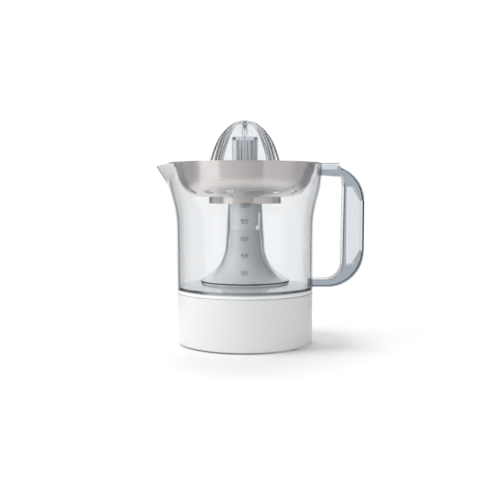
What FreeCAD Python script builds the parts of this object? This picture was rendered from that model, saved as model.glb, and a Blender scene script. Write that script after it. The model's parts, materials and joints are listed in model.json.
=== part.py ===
import FreeCAD, Part
import math
import os
from types import SimpleNamespace

import Sketcher

# Citrus press: white power base, clear jug with a hollow column, steel strainer and ribbed reamer.
# Millimetres. The origin is on the drive axis at table level, +Z up, +X to the handle, -Y front.

doc = FreeCAD.newDocument("citrus_press")
sheet = doc.addObject("Spreadsheet::Sheet", "Sizes")

SIZES = {
    # white drum and its floor
    "base_radius": 67.5,
    "base_height": 51,
    "base_wall": 2.6,
    "base_edge": 2.0,
    "foot_proud": 1.0,
    "plate_inset": 0.5,
    "plate_thickness": 2.5,
    "shell_gap": 0.3,
    "foot_count": 4,
    "foot_inset": 12.9,
    "foot_radius": 6.5,
    "foot_peg_radius": 2,
    "base_screw_radius": 1.5,
    "base_screw_length": 12,
    "base_boss_radius": 4.8,
    "base_boss_height": 16,
    "screw_head_height": 1.4,
    "gland_height": 15,
    "gland_radius": 5.5,
    "gland_flange": 1.6,
    "cord_hole_radius": 3.4,
    # grey deck and pillar
    "collar_height": 3.5,
    "collar_inset": 0.2,
    "spigot_depth": 5.5,
    "spigot_inset": 1.9,
    "tower_wall": 2.2,
    "tower_drop": 32.8,
    "pillar_straight": 13.9,
    "pillar_gap": 0.55,
    "jug_gap": 1.0,
    # clear jug
    "jug_proud": 0.5,
    "jug_taper": 0.3,
    "jug_flare": 8.9,
    "jug_wall_thickness": 2.4,
    "jug_straight": 60,
    "jug_rim_band": 5,
    "jug_height": 124,
    "floor_lift": 0.6,
    "floor_thickness": 2.6,
    "floor_step_radius": 44.5,
    "floor_step_height": 2.5,
    "step_rise": 8.86,
    "column_foot_radius": 19.4,
    "column_wall": 2.2,
    "column_stand": 6.7,
    "column_neck_length": 10,
    "column_radius": 17.2,
    "column_neck_wall": 1.8,
    "spout_length": 14.5,
    "spout_root": 2.7,
    "spout_drop": 4.6,
    "spout_depth": 34,
    "spout_half_width": 25,
    "spout_tip_radius": 8,
    # handle
    "handle_width": 24,
    "handle_foot_rise": 2.3,
    "handle_arm": 7.4,
    "handle_length": 40.6,
    "handle_gap": 19.4,
    "handle_lower_round": 35.5,
    "handle_finger_round": 15,
    "handle_upper_round": 34.5,
    "handle_shoulder_drop": 35.9,
    "handle_crown_length": 18.1,
    "handle_rim_drop": 0.6,
    "handle_top_arm": 9.8,
    "handle_arm_dip": 2.4,
    "handle_side_wall": 2.6,
    "handle_web": 3.7,
    "handle_end_wall": 14,
    "handle_round": 1.4,
    "cover_thickness": 1.5,
    "tab_groove_depth": 5,
    # steel strainer
    "steel": 0.8,
    "rim_flange_inset": 0.9,
    "bowl_clearance": 4.0,
    "bowl_lean": 15,
    "bowl_depth": 32.5,
    "bowl_corner": 25,
    "well_radius": 36.3,
    "well_depth": 6.2,
    "well_collar_height": 3.4,
    "column_clearance": 0.6,
    "slot_count": 16,
    "slot_length": 10,
    "slot_width": 4.6,
    "slot_circle": 57,
    "slot_turn": 9,
    "well_slot_circle": 28,
    "well_slot_count": 12,
    "tab_length": 17.1,
    "tab_width": 15,
    # reamer
    "reamer_height": 70.5,
    "reamer_skirt": 8.5,
    "reamer_radius": 37,
    "rib_count": 8,
    "rib_depth": 5.6,
    "rib_crest_angle": 5,
    "reamer_wall": 3.0,
    "socket_wall": 2.6,
    "socket_clearance": 0.2,
    # removable shaft
    "press_travel": 3,
    "shaft_shoulder": 2.4,
    "coupling_recess": 2.2,
    "shaft_step_gap": 3.8,
    "shaft_gap": 2.0,
    "bush_groove": 1.0,
    "bush_drop": 16,
    "bush_height": 10,
    "bush_slit": 1.6,
    "running_clearance": 0.05,
    "sliding_clearance": 0.1,
    "skirt_stand": 4.5,
    "skirt_radius": 23,
    "skirt_thickness": 2,
    "skirt_lip": 5.5,
    "head_radius": 9.2,
    "head_length": 50.5,
    "coupling_radius": 6.1,
    "coupling_length": 9.5,
    "coupling_flange": 2,
    "coupling_gap": 1.85,
    "spindle_radius": 4,
    "spindle_stand": 13,
    "spindle_flat": 0.8,
    "tower_bush_radius": 7,
    "tower_bush_flange": 9,
    "tower_bush_length": 7,
    "tower_bush_drop": 12.5,
    "tower_bush_seat": 3,
    # gear train
    "pressure_angle": 25,
    "tooth_backlash": 0.14,
    "pinion_teeth": 12,
    "first_teeth": 48,
    "second_teeth": 36,
    "output_teeth": 36,
    "first_module": 0.8,
    "second_module": 1.0,
    "output_module": 1.25,
    "second_gear_turn": 20,
    "gear_post_height": 22,
    "gear_plate_thickness": 2,
    "gear_plate_margin": 4.2,
    "gear_room": 17.5,
    "gear_face": 4,
    "gear_gap": 1.0,
    "gear_end_play": 0.2,
    "axle_radius": 1.5,
    "gear_hub_radius": 3,
    "output_hub_radius": 7,
    "pillar_radius": 3,
    "gear_screw_radius": 1.5,
    "gear_post_radius": 3.6,
    # motor
    "rotor_across": 17,
    "motor_front": 34,
    "core_height": 14,
    "core_lift": 4,
    "core_length": 62,
    "core_width": 34,
    "core_leg": 9,
    "pole_length": 25,
    "rotor_radius": 10,
    "air_gap": 0.6,
    "pole_slit": 2,
    "coil_build": 3.5,
    "bobbin_wall": 1.0,
    "bobbin_end_gap": 2,
    "rotor_shaft_radius": 1.5,
    "rotor_bearing_radius": 3,
    "rotor_bearing_length": 3,
    "bridge_thickness": 2.5,
    "bridge_reach": 19,
    "motor_screw_radius": 1.4,
    # start switch
    "plunger_radius": 6.4,
    "plunger_length": 8,
    "plunger_wall": 1.2,
    "guide_wall": 2,
    "guide_height": 7,
    "plunger_arm_reach": 15,
    "plunger_arm_width": 4,
    "spring_radius": 4.2,
    "spring_wire": 0.9,
    "spring_turns": 3,
    "switch_length": 20,
    "switch_width": 6.4,
    "switch_height": 6.6,
    "switch_offset": 10,
    "lever_height": 8,
    "lever_thickness": 0.6,
    "lever_gap": 0.5,
    "lever_pivot_radius": 0.9,
}

for row, (alias, number) in enumerate(SIZES.items(), start=1):
    sheet.set(f"A{row}", alias)
    sheet.set(f"B{row}", str(number))
    sheet.setAlias(f"B{row}", alias)
doc.recompute()


class Size:
    """A length that keeps both its number and the sheet formula it comes from."""

    def __init__(self, number, formula):
        self.number = number
        self.formula = formula

    def __add__(self, other):
        other = as_size(other)
        return Size(self.number + other.number, f"({self.formula} + {other.formula})")

    def __sub__(self, other):
        other = as_size(other)
        return Size(self.number - other.number, f"({self.formula} - {other.formula})")

    def __mul__(self, other):
        other = as_size(other)
        return Size(self.number * other.number, f"({self.formula} * {other.formula})")

    def __truediv__(self, other):
        other = as_size(other)
        return Size(self.number / other.number, f"({self.formula} / {other.formula})")

    def __neg__(self):
        return Size(-self.number, f"(0 - {self.formula})")


def as_size(value):
    return value if isinstance(value, Size) else Size(value, repr(value))


def root(size):
    return Size(math.sqrt(size.number), f"sqrt({size.formula})")


def cosine(degrees):
    return Size(math.cos(math.radians(degrees.number)), f"cos({degrees.formula})")


def sine(degrees):
    return Size(math.sin(math.radians(degrees.number)), f"sin({degrees.formula})")


S = SimpleNamespace(**{name: Size(sheet.get(name), f"Sizes.{name}") for name in SIZES})


# Building blocks

def bind(thing, **sizes):
    for prop, size in sizes.items():
        thing.setExpression(prop, as_size(size).formula)
    return thing


def place(thing, x=0, y=0, z=0):
    for axis, size in (("x", x), ("y", y), ("z", z)):
        thing.setExpression(f"Placement.Base.{axis}", as_size(size).formula)
    return thing


def cylinder(name, radius, height, x=0, y=0, z=0):
    rod = doc.addObject("Part::Cylinder", name)
    bind(rod, Radius=radius, Height=height)
    return place(rod, x, y, z)


def block(name, x_span, y_span, z_span):
    """A box between two values on each axis."""
    box = doc.addObject("Part::Box", name)
    bind(box, Length=as_size(x_span[1]) - x_span[0], Width=as_size(y_span[1]) - y_span[0],
         Height=as_size(z_span[1]) - z_span[0])
    return place(box, x_span[0], y_span[0], z_span[0])


def hexagon(name, corner_radius, height, z):
    prism = doc.addObject("Part::Prism", name)
    prism.Polygon = 6
    bind(prism, Circumradius=corner_radius, Height=height)
    return place(prism, z=z)


def fused(name, pieces):
    joined = doc.addObject("Part::MultiFuse", name)
    joined.Shapes = pieces
    return joined


def group(name, pieces):
    together = doc.addObject("Part::Compound", name)
    together.Links = pieces
    return together


def cut(name, solid, tools):
    result = doc.addObject("Part::Cut", name)
    result.Base = solid
    result.Tool = tools[0] if len(tools) == 1 else fused(name + "_tools", tools)
    return result


def free_form(name, shape):
    feature = doc.addObject("Part::Feature", name)
    feature.Shape = shape
    return feature


def origin_plane(body, role):
    return next(item for item in body.Origin.OriginFeatures if item.Role == role)


def arc_through(start, end, radius):
    """Circle arc from start to end; a positive radius runs anticlockwise."""
    chord = end - start
    bulge = math.sqrt(radius * radius - chord.Length ** 2 / 4)
    side = FreeCAD.Vector(-chord.y, chord.x, 0).normalize() * math.copysign(bulge, radius)
    centre = (start + end) * 0.5 + side
    first, last = (start, end) if radius > 0 else (end, start)
    angles = [math.atan2(point.y - centre.y, point.x - centre.x) for point in (first, last)]
    circle = Part.Circle(centre, FreeCAD.Vector(0, 0, 1), abs(radius))
    return Part.ArcOfCircle(circle, angles[0], angles[1])


def outline(body, name, role, corners):
    """Closed sketch; a corner is (across, up) or, reached by an arc, (across, up, radius)."""
    sketch = body.newObject("Sketcher::SketchObject", name)
    sketch.AttachmentSupport = (origin_plane(body, role), [""])
    sketch.MapMode = "FlatFace"
    points = [FreeCAD.Vector(as_size(c[0]).number, as_size(c[1]).number, 0) for c in corners]
    starts = []
    for index, start in enumerate(points):
        target = (index + 1) % len(points)
        radius = as_size(corners[target][2]) if len(corners[target]) == 3 else None
        if radius is None:
            sketch.addGeometry(Part.LineSegment(start, points[target]))
            starts.append(1)
        else:
            sketch.addGeometry(arc_through(start, points[target], radius.number))
            starts.append(1 if radius.number > 0 else 2)
            size = Sketcher.Constraint("Radius", index, abs(radius.number))
            row = sketch.addConstraint(size)
            sketch.setExpression(f"Constraints[{row}]", f"abs({radius.formula})")
    for index, side in enumerate(starts):
        previous = index - 1 if index else len(points) - 1
        sketch.addConstraint(Sketcher.Constraint("Coincident", previous, 3 - starts[previous], index, side))
        for kind, axis, size in (("DistanceX", -2, corners[index][0]), ("DistanceY", -1, corners[index][1])):
            size = as_size(size)
            if size.formula == "0":
                sketch.addConstraint(Sketcher.Constraint("PointOnObject", index, side, axis))
            else:
                row = sketch.addConstraint(Sketcher.Constraint(kind, -1, 1, index, side, size.number))
                sketch.setExpression(f"Constraints[{row}]", size.formula)
    return sketch


def turned(name, corners):
    """A body turned about the drive axis from a closed (radius, height) outline."""
    body = doc.addObject("PartDesign::Body", name)
    sketch = outline(body, name + "_section", "XZ_Plane", corners)
    turn = body.newObject("PartDesign::Revolution", name + "_turn")
    turn.Profile = sketch
    turn.ReferenceAxis = (sketch, ["V_Axis"])
    turn.Angle = 360
    return body


def polar(radius, degrees):
    return radius * cosine(degrees), radius * sine(degrees)


def ring_places(count, radius, start):
    """Places evenly spread on a circle about the drive axis."""
    return [polar(radius, as_size(start) + as_size(360) / count * step) for step in range(int(count.number))]


def on_floor_radius(radius, arc_radius):
    """Height of the column's flare, at a radius, on an arc about the flare's centre."""
    across = FLARE_CENTRE - radius
    return FLARE_HEIGHT - root(arc_radius * arc_radius - across * across)


# Shared places
PLATE_BOTTOM = S.foot_proud + S.plate_inset
PLATE_TOP = PLATE_BOTTOM + S.plate_thickness
BASE_INNER = S.base_radius - S.base_wall
FOOT_CIRCLE = BASE_INNER - S.foot_inset
SPIGOT = BASE_INNER - S.spigot_inset
SEAT_HEIGHT = S.base_height + S.collar_height
JUG_RADIUS = S.base_radius + S.jug_proud
JUG_BELLY = JUG_RADIUS + S.jug_taper
JUG_RIM_RADIUS = JUG_RADIUS + S.jug_flare
JUG_RIM = SEAT_HEIGHT + S.jug_height
FLARE_LOW = SEAT_HEIGHT + S.jug_straight
FLARE_HIGH = JUG_RIM - S.jug_rim_band
SPOUT_REACH = JUG_RIM_RADIUS + S.spout_length
SPOUT_ROOT = JUG_BELLY + S.spout_root
BOWL_FLOOR = JUG_RIM - S.bowl_depth
BOWL_MOUTH = JUG_RIM_RADIUS - S.jug_wall_thickness - S.bowl_clearance
RIM_FLANGE = JUG_RIM_RADIUS - S.rim_flange_inset
TAB_REACH = JUG_RIM_RADIUS + S.tab_length
WELL_UNDER = BOWL_FLOOR - S.well_depth
COLUMN_TOP = WELL_UNDER + S.column_stand
COLUMN_NECK = COLUMN_TOP - S.column_neck_length
TOWER_TOP = COLUMN_TOP - S.tower_drop
FLARE_HEIGHT = TOWER_TOP - S.pillar_straight
FLARE_FOOT = SEAT_HEIGHT + S.step_rise
FLARE_FALL = FLARE_HEIGHT - FLARE_FOOT
FLARE_SPREAD = S.floor_step_radius - S.column_foot_radius
FLARE_RADIUS = (FLARE_SPREAD * FLARE_SPREAD + FLARE_FALL * FLARE_FALL) / (FLARE_SPREAD * 2)
FLARE_CENTRE = S.column_foot_radius + FLARE_RADIUS
COLUMN_BORE = S.column_radius - S.column_neck_wall
PILLAR_RADIUS = COLUMN_BORE - S.pillar_gap
PILLAR_BORE = PILLAR_RADIUS - S.tower_wall
SHAFT_RADIUS = COLUMN_BORE - S.shaft_gap
SHAFT_NECK = SHAFT_RADIUS - S.shaft_shoulder
COUPLING_DISC = PILLAR_BORE - S.coupling_gap
HANDLE_BOTTOM = SEAT_HEIGHT + S.handle_foot_rise
HANDLE_TOP = JUG_RIM - S.handle_rim_drop
HANDLE_SHOULDER = HANDLE_TOP - S.handle_shoulder_drop
HANDLE_REACH = JUG_RIM_RADIUS + S.handle_length
GRIP_INNER = JUG_RIM_RADIUS + S.handle_gap
CROWN_REACH = JUG_RIM_RADIUS + S.handle_crown_length
SHAFT_FOOT = TOWER_TOP - S.coupling_recess
SHAFT_STEP = TOWER_TOP + S.shaft_step_gap
BUSH_BOTTOM = COLUMN_TOP - S.bush_drop
BUSH_SEAT = TOWER_TOP - S.tower_bush_drop
SKIRT_HEIGHT = COLUMN_TOP + S.skirt_stand
HEAD_TOP = SKIRT_HEIGHT + S.head_length
REAMER_WAIST = SKIRT_HEIGHT + S.reamer_skirt
REAMER_TOP = SKIRT_HEIGHT + S.reamer_height
GEAR_PLATE = PLATE_TOP + S.gear_post_height
SPINDLE_FOOT = PLATE_TOP + S.spindle_stand
FLOOR_LOW = SEAT_HEIGHT + S.floor_lift
JUG_INNER = JUG_RADIUS - S.jug_wall_thickness
GEAR_FLOOR = GEAR_PLATE + S.gear_plate_thickness
GEAR_CEILING = GEAR_FLOOR + S.gear_room
MOTOR_Y = -S.motor_front
CORE_BOTTOM = PLATE_TOP + S.core_lift
CORE_TOP = CORE_BOTTOM + S.core_height
CORE_RIGHT = S.rotor_across + S.pole_length / 2
CORE_LEFT = CORE_RIGHT - S.core_length
BASE_SCREWS = ring_places(S.foot_count, BASE_INNER - S.base_boss_radius * 0.9, 45)
FEET = ring_places(S.foot_count, FOOT_CIRCLE, 0)
PILLARS = [(as_size(x), as_size(y)) for x, y in ((51, 2), (8, 33), (-27, -8), (46, -32))]
MOTOR_SCREWS = [
    (CORE_RIGHT - 3.5, MOTOR_Y - S.core_width / 2 + S.core_leg / 2),
    (CORE_RIGHT - 3.5, MOTOR_Y + S.core_width / 2 - S.core_leg / 2),
    (CORE_LEFT + S.core_leg / 2, MOTOR_Y),
]


def meshing_place(first, first_distance, second, second_distance):
    """Centre that lies at two given distances from two gear centres, on the outer side."""
    gap = second - first
    along = (first_distance ** 2 - second_distance ** 2 + gap.Length ** 2) / (2 * gap.Length)
    aside = math.sqrt(first_distance ** 2 - along ** 2)
    way = FreeCAD.Vector(gap).normalize()
    return first + way * along + FreeCAD.Vector(-way.y, way.x, 0) * aside


def centre_distance(module, teeth):
    return (module * (S.pinion_teeth + teeth) / 2).number


SECOND_CENTRE = FreeCAD.Vector(centre_distance(S.output_module, S.output_teeth), 0, 0)
SECOND_CENTRE = FreeCAD.Rotation(S.second_gear_turn.number, 0, 0).multVec(SECOND_CENTRE)
ROTOR_CENTRE = FreeCAD.Vector(S.rotor_across.number, MOTOR_Y.number, 0)
FIRST_CENTRE = meshing_place(ROTOR_CENTRE, centre_distance(S.first_module, S.first_teeth),
                             SECOND_CENTRE, centre_distance(S.second_module, S.second_teeth))
if FIRST_CENTRE.x < ROTOR_CENTRE.x:
    FIRST_CENTRE = meshing_place(SECOND_CENTRE, centre_distance(S.second_module, S.second_teeth),
                                 ROTOR_CENTRE, centre_distance(S.first_module, S.first_teeth))


# White drum

def make_base_housing():
    shell = turned("housing_shell", [
        (BASE_INNER, S.foot_proud),
        (S.base_radius - S.base_edge, S.foot_proud),
        (S.base_radius, S.foot_proud + S.base_edge, S.base_edge),
        (S.base_radius, S.base_height - S.base_edge / 2),
        (S.base_radius - S.base_edge / 2, S.base_height, S.base_edge / 2),
        (SPIGOT + S.shell_gap, S.base_height),
        (SPIGOT + S.shell_gap, S.base_height - S.base_wall),
        (BASE_INNER, S.base_height - S.base_wall),
    ])
    bosses = [cylinder(f"housing_boss_{n}", S.base_boss_radius, S.base_boss_height, x, y, PLATE_TOP)
              for n, (x, y) in enumerate(BASE_SCREWS)]
    pilots = [cylinder(f"housing_pilot_{n}", S.base_screw_radius, S.base_screw_length, x, y, PLATE_TOP)
              for n, (x, y) in enumerate(BASE_SCREWS)]
    inlet = cylinder("housing_inlet", S.gland_radius, S.base_radius, z=S.gland_height)
    inlet.Placement.Rotation = FreeCAD.Rotation(FreeCAD.Vector(1, 0, 0), -90)
    return cut("base_housing", fused("housing_with_bosses", [shell] + bosses), pilots + [inlet])


def make_cord_gland():
    """Grommet in the back wall: outer and inner flange with a neck between them."""
    def rod(name, radius, start, end):
        piece = cylinder(name, radius, as_size(end) - start, y=start, z=S.gland_height)
        piece.Placement.Rotation = FreeCAD.Rotation(FreeCAD.Vector(1, 0, 0), -90)
        return piece

    inner_face = BASE_INNER - S.shell_gap * 2
    solid = fused("gland_solid", [
        rod("gland_neck", S.gland_radius, inner_face, S.base_radius),
        rod("gland_outer", S.gland_radius + S.gland_flange, S.base_radius, S.base_radius + S.gland_flange),
        rod("gland_inner", S.gland_radius + S.gland_flange, inner_face - S.gland_flange, inner_face),
    ])
    bore = rod("gland_bore", S.cord_hole_radius, inner_face - S.gland_flange * 2,
               S.base_radius + S.gland_flange * 2)
    return cut("cord_gland", solid, [bore])


def make_base_plate():
    """Floor of the drum, with the posts that carry the motor, gearbox, switch plunger and rotor."""
    rotor_x, rotor_y = S.rotor_across, MOTOR_Y
    guide_outer = S.plunger_radius + S.sliding_clearance + S.guide_wall
    solids = [
        cylinder("plate_disc", BASE_INNER - S.shell_gap, S.plate_thickness, z=PLATE_BOTTOM),
        cylinder("plate_guide", guide_outer, S.guide_height, z=PLATE_TOP),
        cylinder("plate_rotor_boss", S.rotor_bearing_radius + S.guide_wall, S.core_lift - S.shell_gap,
                 rotor_x, rotor_y, PLATE_TOP),
    ]
    holes = [
        cylinder("plate_guide_bore", S.plunger_radius + S.sliding_clearance, S.guide_height, z=PLATE_TOP),
        cylinder("plate_rotor_seat", S.rotor_bearing_radius, S.core_lift, rotor_x, rotor_y,
                 CORE_BOTTOM - S.shell_gap - S.rotor_bearing_length),
    ]
    for n, (x, y) in enumerate(PILLARS):
        solids.append(cylinder(f"plate_post_{n}", S.gear_post_radius, GEAR_PLATE - PLATE_TOP,
                               x, y, PLATE_TOP))
        holes.append(cylinder(f"plate_post_pilot_{n}", S.gear_screw_radius, GEAR_PLATE / 2,
                              x, y, GEAR_PLATE / 2))
    for n, (x, y) in enumerate(MOTOR_SCREWS):
        solids.append(cylinder(f"plate_motor_post_{n}", S.motor_screw_radius + S.guide_wall, S.core_lift,
                               x, y, PLATE_TOP))
        holes.append(cylinder(f"plate_motor_pilot_{n}", S.motor_screw_radius, S.core_lift, x, y, PLATE_TOP))
    for n, (x, y) in enumerate(FEET):
        holes.append(cylinder(f"plate_foot_hole_{n}", S.foot_peg_radius, S.plate_thickness,
                              x, y, PLATE_BOTTOM))
    for n, (x, y) in enumerate(BASE_SCREWS):
        holes.append(cylinder(f"plate_screw_hole_{n}", S.base_screw_radius, S.plate_thickness,
                              x, y, PLATE_BOTTOM))
        holes.append(cylinder(f"plate_screw_well_{n}", S.base_screw_radius * 2, S.screw_head_height,
                              x, y, PLATE_BOTTOM))
    return cut("base_plate", fused("plate_solid", solids), holes)


def make_rubber_feet():
    feet = []
    for n, (x, y) in enumerate(FEET):
        pad = cylinder(f"foot_pad_{n}", S.foot_radius, PLATE_BOTTOM, x, y)
        peg = cylinder(f"foot_peg_{n}", S.foot_peg_radius, S.plate_thickness, x, y, PLATE_BOTTOM)
        feet.append(fused(f"foot_{n}", [pad, peg]))
    return group("rubber_feet", feet)


def screw(name, radius, x, y, low, high, head_up):
    """A plain screw with its head beyond the high end, or beyond the low end when turned over."""
    shank = cylinder(name + "_shank", radius, as_size(high) - low, x, y, low)
    head_at = high if head_up else low - S.screw_head_height
    head = cylinder(name + "_head", radius * 2, S.screw_head_height, x, y, head_at)
    return fused(name, [shank, head])


def make_base_screws():
    seat = PLATE_BOTTOM + S.screw_head_height
    top = PLATE_TOP + S.base_screw_length
    return group("base_screws", [screw(f"base_screw_{n}", S.base_screw_radius, x, y, seat, top, False)
                                 for n, (x, y) in enumerate(BASE_SCREWS)])


# Grey deck and pillar

def make_drive_tower():
    outer_arc = FLARE_RADIUS + S.column_wall + S.jug_gap
    inner_arc = outer_arc + S.tower_wall
    step = S.floor_step_radius - S.column_wall
    inner_step = step - S.tower_wall
    outer_foot = FLARE_CENTRE - outer_arc
    inner_foot = FLARE_CENTRE - inner_arc
    taper = (inner_foot - PILLAR_BORE) / (TOWER_TOP - FLARE_HEIGHT)
    seat_top = BUSH_SEAT + S.tower_bush_seat
    low_step = on_floor_radius(step, outer_arc) - S.floor_step_height - S.jug_gap
    spigot_inner = SPIGOT - S.tower_wall
    return turned("drive_tower", [
        (spigot_inner, S.base_height - S.spigot_depth),
        (SPIGOT, S.base_height - S.spigot_depth),
        (SPIGOT, S.base_height),
        (S.base_radius - S.collar_inset, S.base_height),
        (S.base_radius - S.collar_inset, SEAT_HEIGHT),
        (SPIGOT, SEAT_HEIGHT),
        (step, low_step),
        (step, on_floor_radius(step, outer_arc)),
        (outer_foot, FLARE_HEIGHT, -outer_arc),
        (PILLAR_RADIUS, TOWER_TOP),
        (PILLAR_BORE, TOWER_TOP),
        (inner_foot - taper * (seat_top - FLARE_HEIGHT), seat_top),
        (S.tower_bush_radius, seat_top),
        (S.tower_bush_radius, BUSH_SEAT),
        (inner_foot - taper * (BUSH_SEAT - FLARE_HEIGHT), BUSH_SEAT),
        (inner_foot, FLARE_HEIGHT),
        (inner_step, on_floor_radius(inner_step, inner_arc), inner_arc),
        (inner_step, low_step - S.tower_wall),
        (spigot_inner, SEAT_HEIGHT - S.tower_wall),
    ])


def make_tower_bush():
    bottom = BUSH_SEAT + S.tower_bush_seat - S.tower_bush_length + S.skirt_thickness
    seat = BUSH_SEAT + S.tower_bush_seat
    bore = S.spindle_radius + S.running_clearance
    return turned("tower_bush", [
        (bore, bottom),
        (S.tower_bush_radius, bottom),
        (S.tower_bush_radius, seat),
        (S.tower_bush_flange, seat),
        (S.tower_bush_flange, seat + S.skirt_thickness),
        (bore, seat + S.skirt_thickness),
    ])


# Clear jug

def make_jug_floor():
    """Floor that rises into the hollow column; the strainer's well stands round its top."""
    under_arc = FLARE_RADIUS + S.column_wall
    under_step = S.floor_step_radius - S.column_wall * 0.7
    under_step_top = on_floor_radius(under_step, under_arc)
    return turned("jug_floor", [
        (JUG_INNER, FLOOR_LOW),
        (JUG_INNER, FLOOR_LOW + S.floor_thickness),
        (S.floor_step_radius, FLARE_FOOT - S.floor_step_height),
        (S.floor_step_radius, FLARE_FOOT),
        (S.column_foot_radius, FLARE_HEIGHT, -FLARE_RADIUS),
        (S.column_radius, COLUMN_NECK),
        (S.column_radius, COLUMN_TOP),
        (COLUMN_BORE, COLUMN_TOP),
        (COLUMN_BORE, TOWER_TOP + S.jug_gap),
        (FLARE_CENTRE - under_arc, FLARE_HEIGHT),
        (under_step, under_step_top, under_arc),
        (under_step, under_step_top - S.floor_step_height - S.floor_lift),
    ])


def wall_profile(inset):
    """Edges of the jug wall's section from seat to rim: a taper, then an S of two equal arcs."""
    low = (JUG_RADIUS.number, SEAT_HEIGHT.number)
    start = (JUG_BELLY.number, FLARE_LOW.number)
    end = (JUG_RIM_RADIUS.number, FLARE_HIGH.number)
    top = (end[0], JUG_RIM.number)
    half_turn = math.atan2(end[0] - start[0], end[1] - start[1])
    radius = (end[1] - start[1]) / (2 * math.sin(2 * half_turn))

    def on_lower(angle):
        reach = radius + inset
        across = start[0] + radius - reach * math.cos(angle)
        return FreeCAD.Vector(across, 0, start[1] + reach * math.sin(angle))

    def on_upper(angle):
        reach = radius - inset
        across = end[0] - radius + reach * math.cos(angle)
        return FreeCAD.Vector(across, 0, end[1] - reach * math.sin(angle))

    turn = 2 * half_turn
    lower = Part.Arc(on_lower(0), on_lower(half_turn), on_lower(turn))
    upper = Part.Arc(on_upper(turn), on_upper(half_turn), on_upper(0))
    straight = Part.LineSegment(FreeCAD.Vector(low[0] - inset, 0, low[1]), on_lower(0))
    rim = Part.LineSegment(on_upper(0), FreeCAD.Vector(top[0] - inset, 0, top[1]))
    return [edge.toShape() for edge in (straight, lower, upper, rim)]


def wall_core(inset):
    """Solid of revolution inside the jug wall's outer face, moved in by inset."""
    edges = wall_profile(inset)
    bottom = edges[0].Vertexes[0].Point
    top = edges[-1].Vertexes[-1].Point
    corners = [top, FreeCAD.Vector(0, 0, top.z), FreeCAD.Vector(0, 0, bottom.z), bottom]
    edges += [Part.LineSegment(corners[n], corners[n + 1]).toShape() for n in range(3)]
    face = Part.Face(Part.Wire(Part.__sortEdges__(edges)))
    return face.revolve(FreeCAD.Vector(), FreeCAD.Vector(0, 0, 1), 360)


def beak_section(height, reach, half_width, tip_radius):
    """Plan of the spout at one height: two straight cheeks that meet in a round nose."""
    root_x = -JUG_RADIUS.number + S.spout_half_width.number / 2
    centre_x = -reach + tip_radius
    away = math.hypot(root_x - centre_x, half_width)
    lean = math.atan2(half_width, root_x - centre_x) + math.acos(tip_radius / away)
    touch = FreeCAD.Vector(centre_x + tip_radius * math.cos(lean), tip_radius * math.sin(lean), height)
    nose = FreeCAD.Vector(-reach, 0, height)
    mirrored = FreeCAD.Vector(touch.x, -touch.y, height)
    back = FreeCAD.Vector(root_x, half_width, height)
    front = FreeCAD.Vector(root_x, -half_width, height)
    return Part.Wire([
        Part.LineSegment(back, touch).toShape(),
        Part.Arc(touch, nose, mirrored).toShape(),
        Part.LineSegment(mirrored, front).toShape(),
        Part.LineSegment(front, back).toShape(),
    ])


def spout(inset):
    """Beak that grows out of the wall from its root up to the rim."""
    top = JUG_RIM.number
    depth = S.spout_depth.number
    reach = SPOUT_REACH.number - inset
    half_width = S.spout_half_width.number - inset
    tip_radius = S.spout_tip_radius.number - inset
    swell = SPOUT_REACH.number - SPOUT_ROOT.number
    sections = []
    for step in (0.0, 0.5, 1.0):
        width = half_width * (1 - step / 2)
        sections.append(beak_section(top - depth * step, reach - swell * step, width, tip_radius))
    return Part.makeLoft(sections, True, False)


def make_jug_wall():
    wall = S.jug_wall_thickness.number
    rim = JUG_RIM.number
    outer = wall_core(0).fuse(spout(0))
    inner = wall_core(wall).fuse(spout(wall))
    rim_x = -JUG_RIM_RADIUS.number + wall
    tip_x = -SPOUT_REACH.number
    far_x = tip_x - S.spout_half_width.number
    drop = S.spout_drop.number * (rim_x - far_x) / (rim_x - tip_x)
    spare = S.spout_depth.number
    side = [FreeCAD.Vector(rim_x, -spare, rim), FreeCAD.Vector(far_x, -spare, rim - drop),
            FreeCAD.Vector(far_x, -spare, rim + spare), FreeCAD.Vector(rim_x, -spare, rim + spare)]
    lip = Part.Face(Part.makePolygon(side + side[:1])).extrude(FreeCAD.Vector(0, 2 * spare, 0))
    return free_form("jug_wall", outer.cut(inner).cut(lip).removeSplitter())


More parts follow.
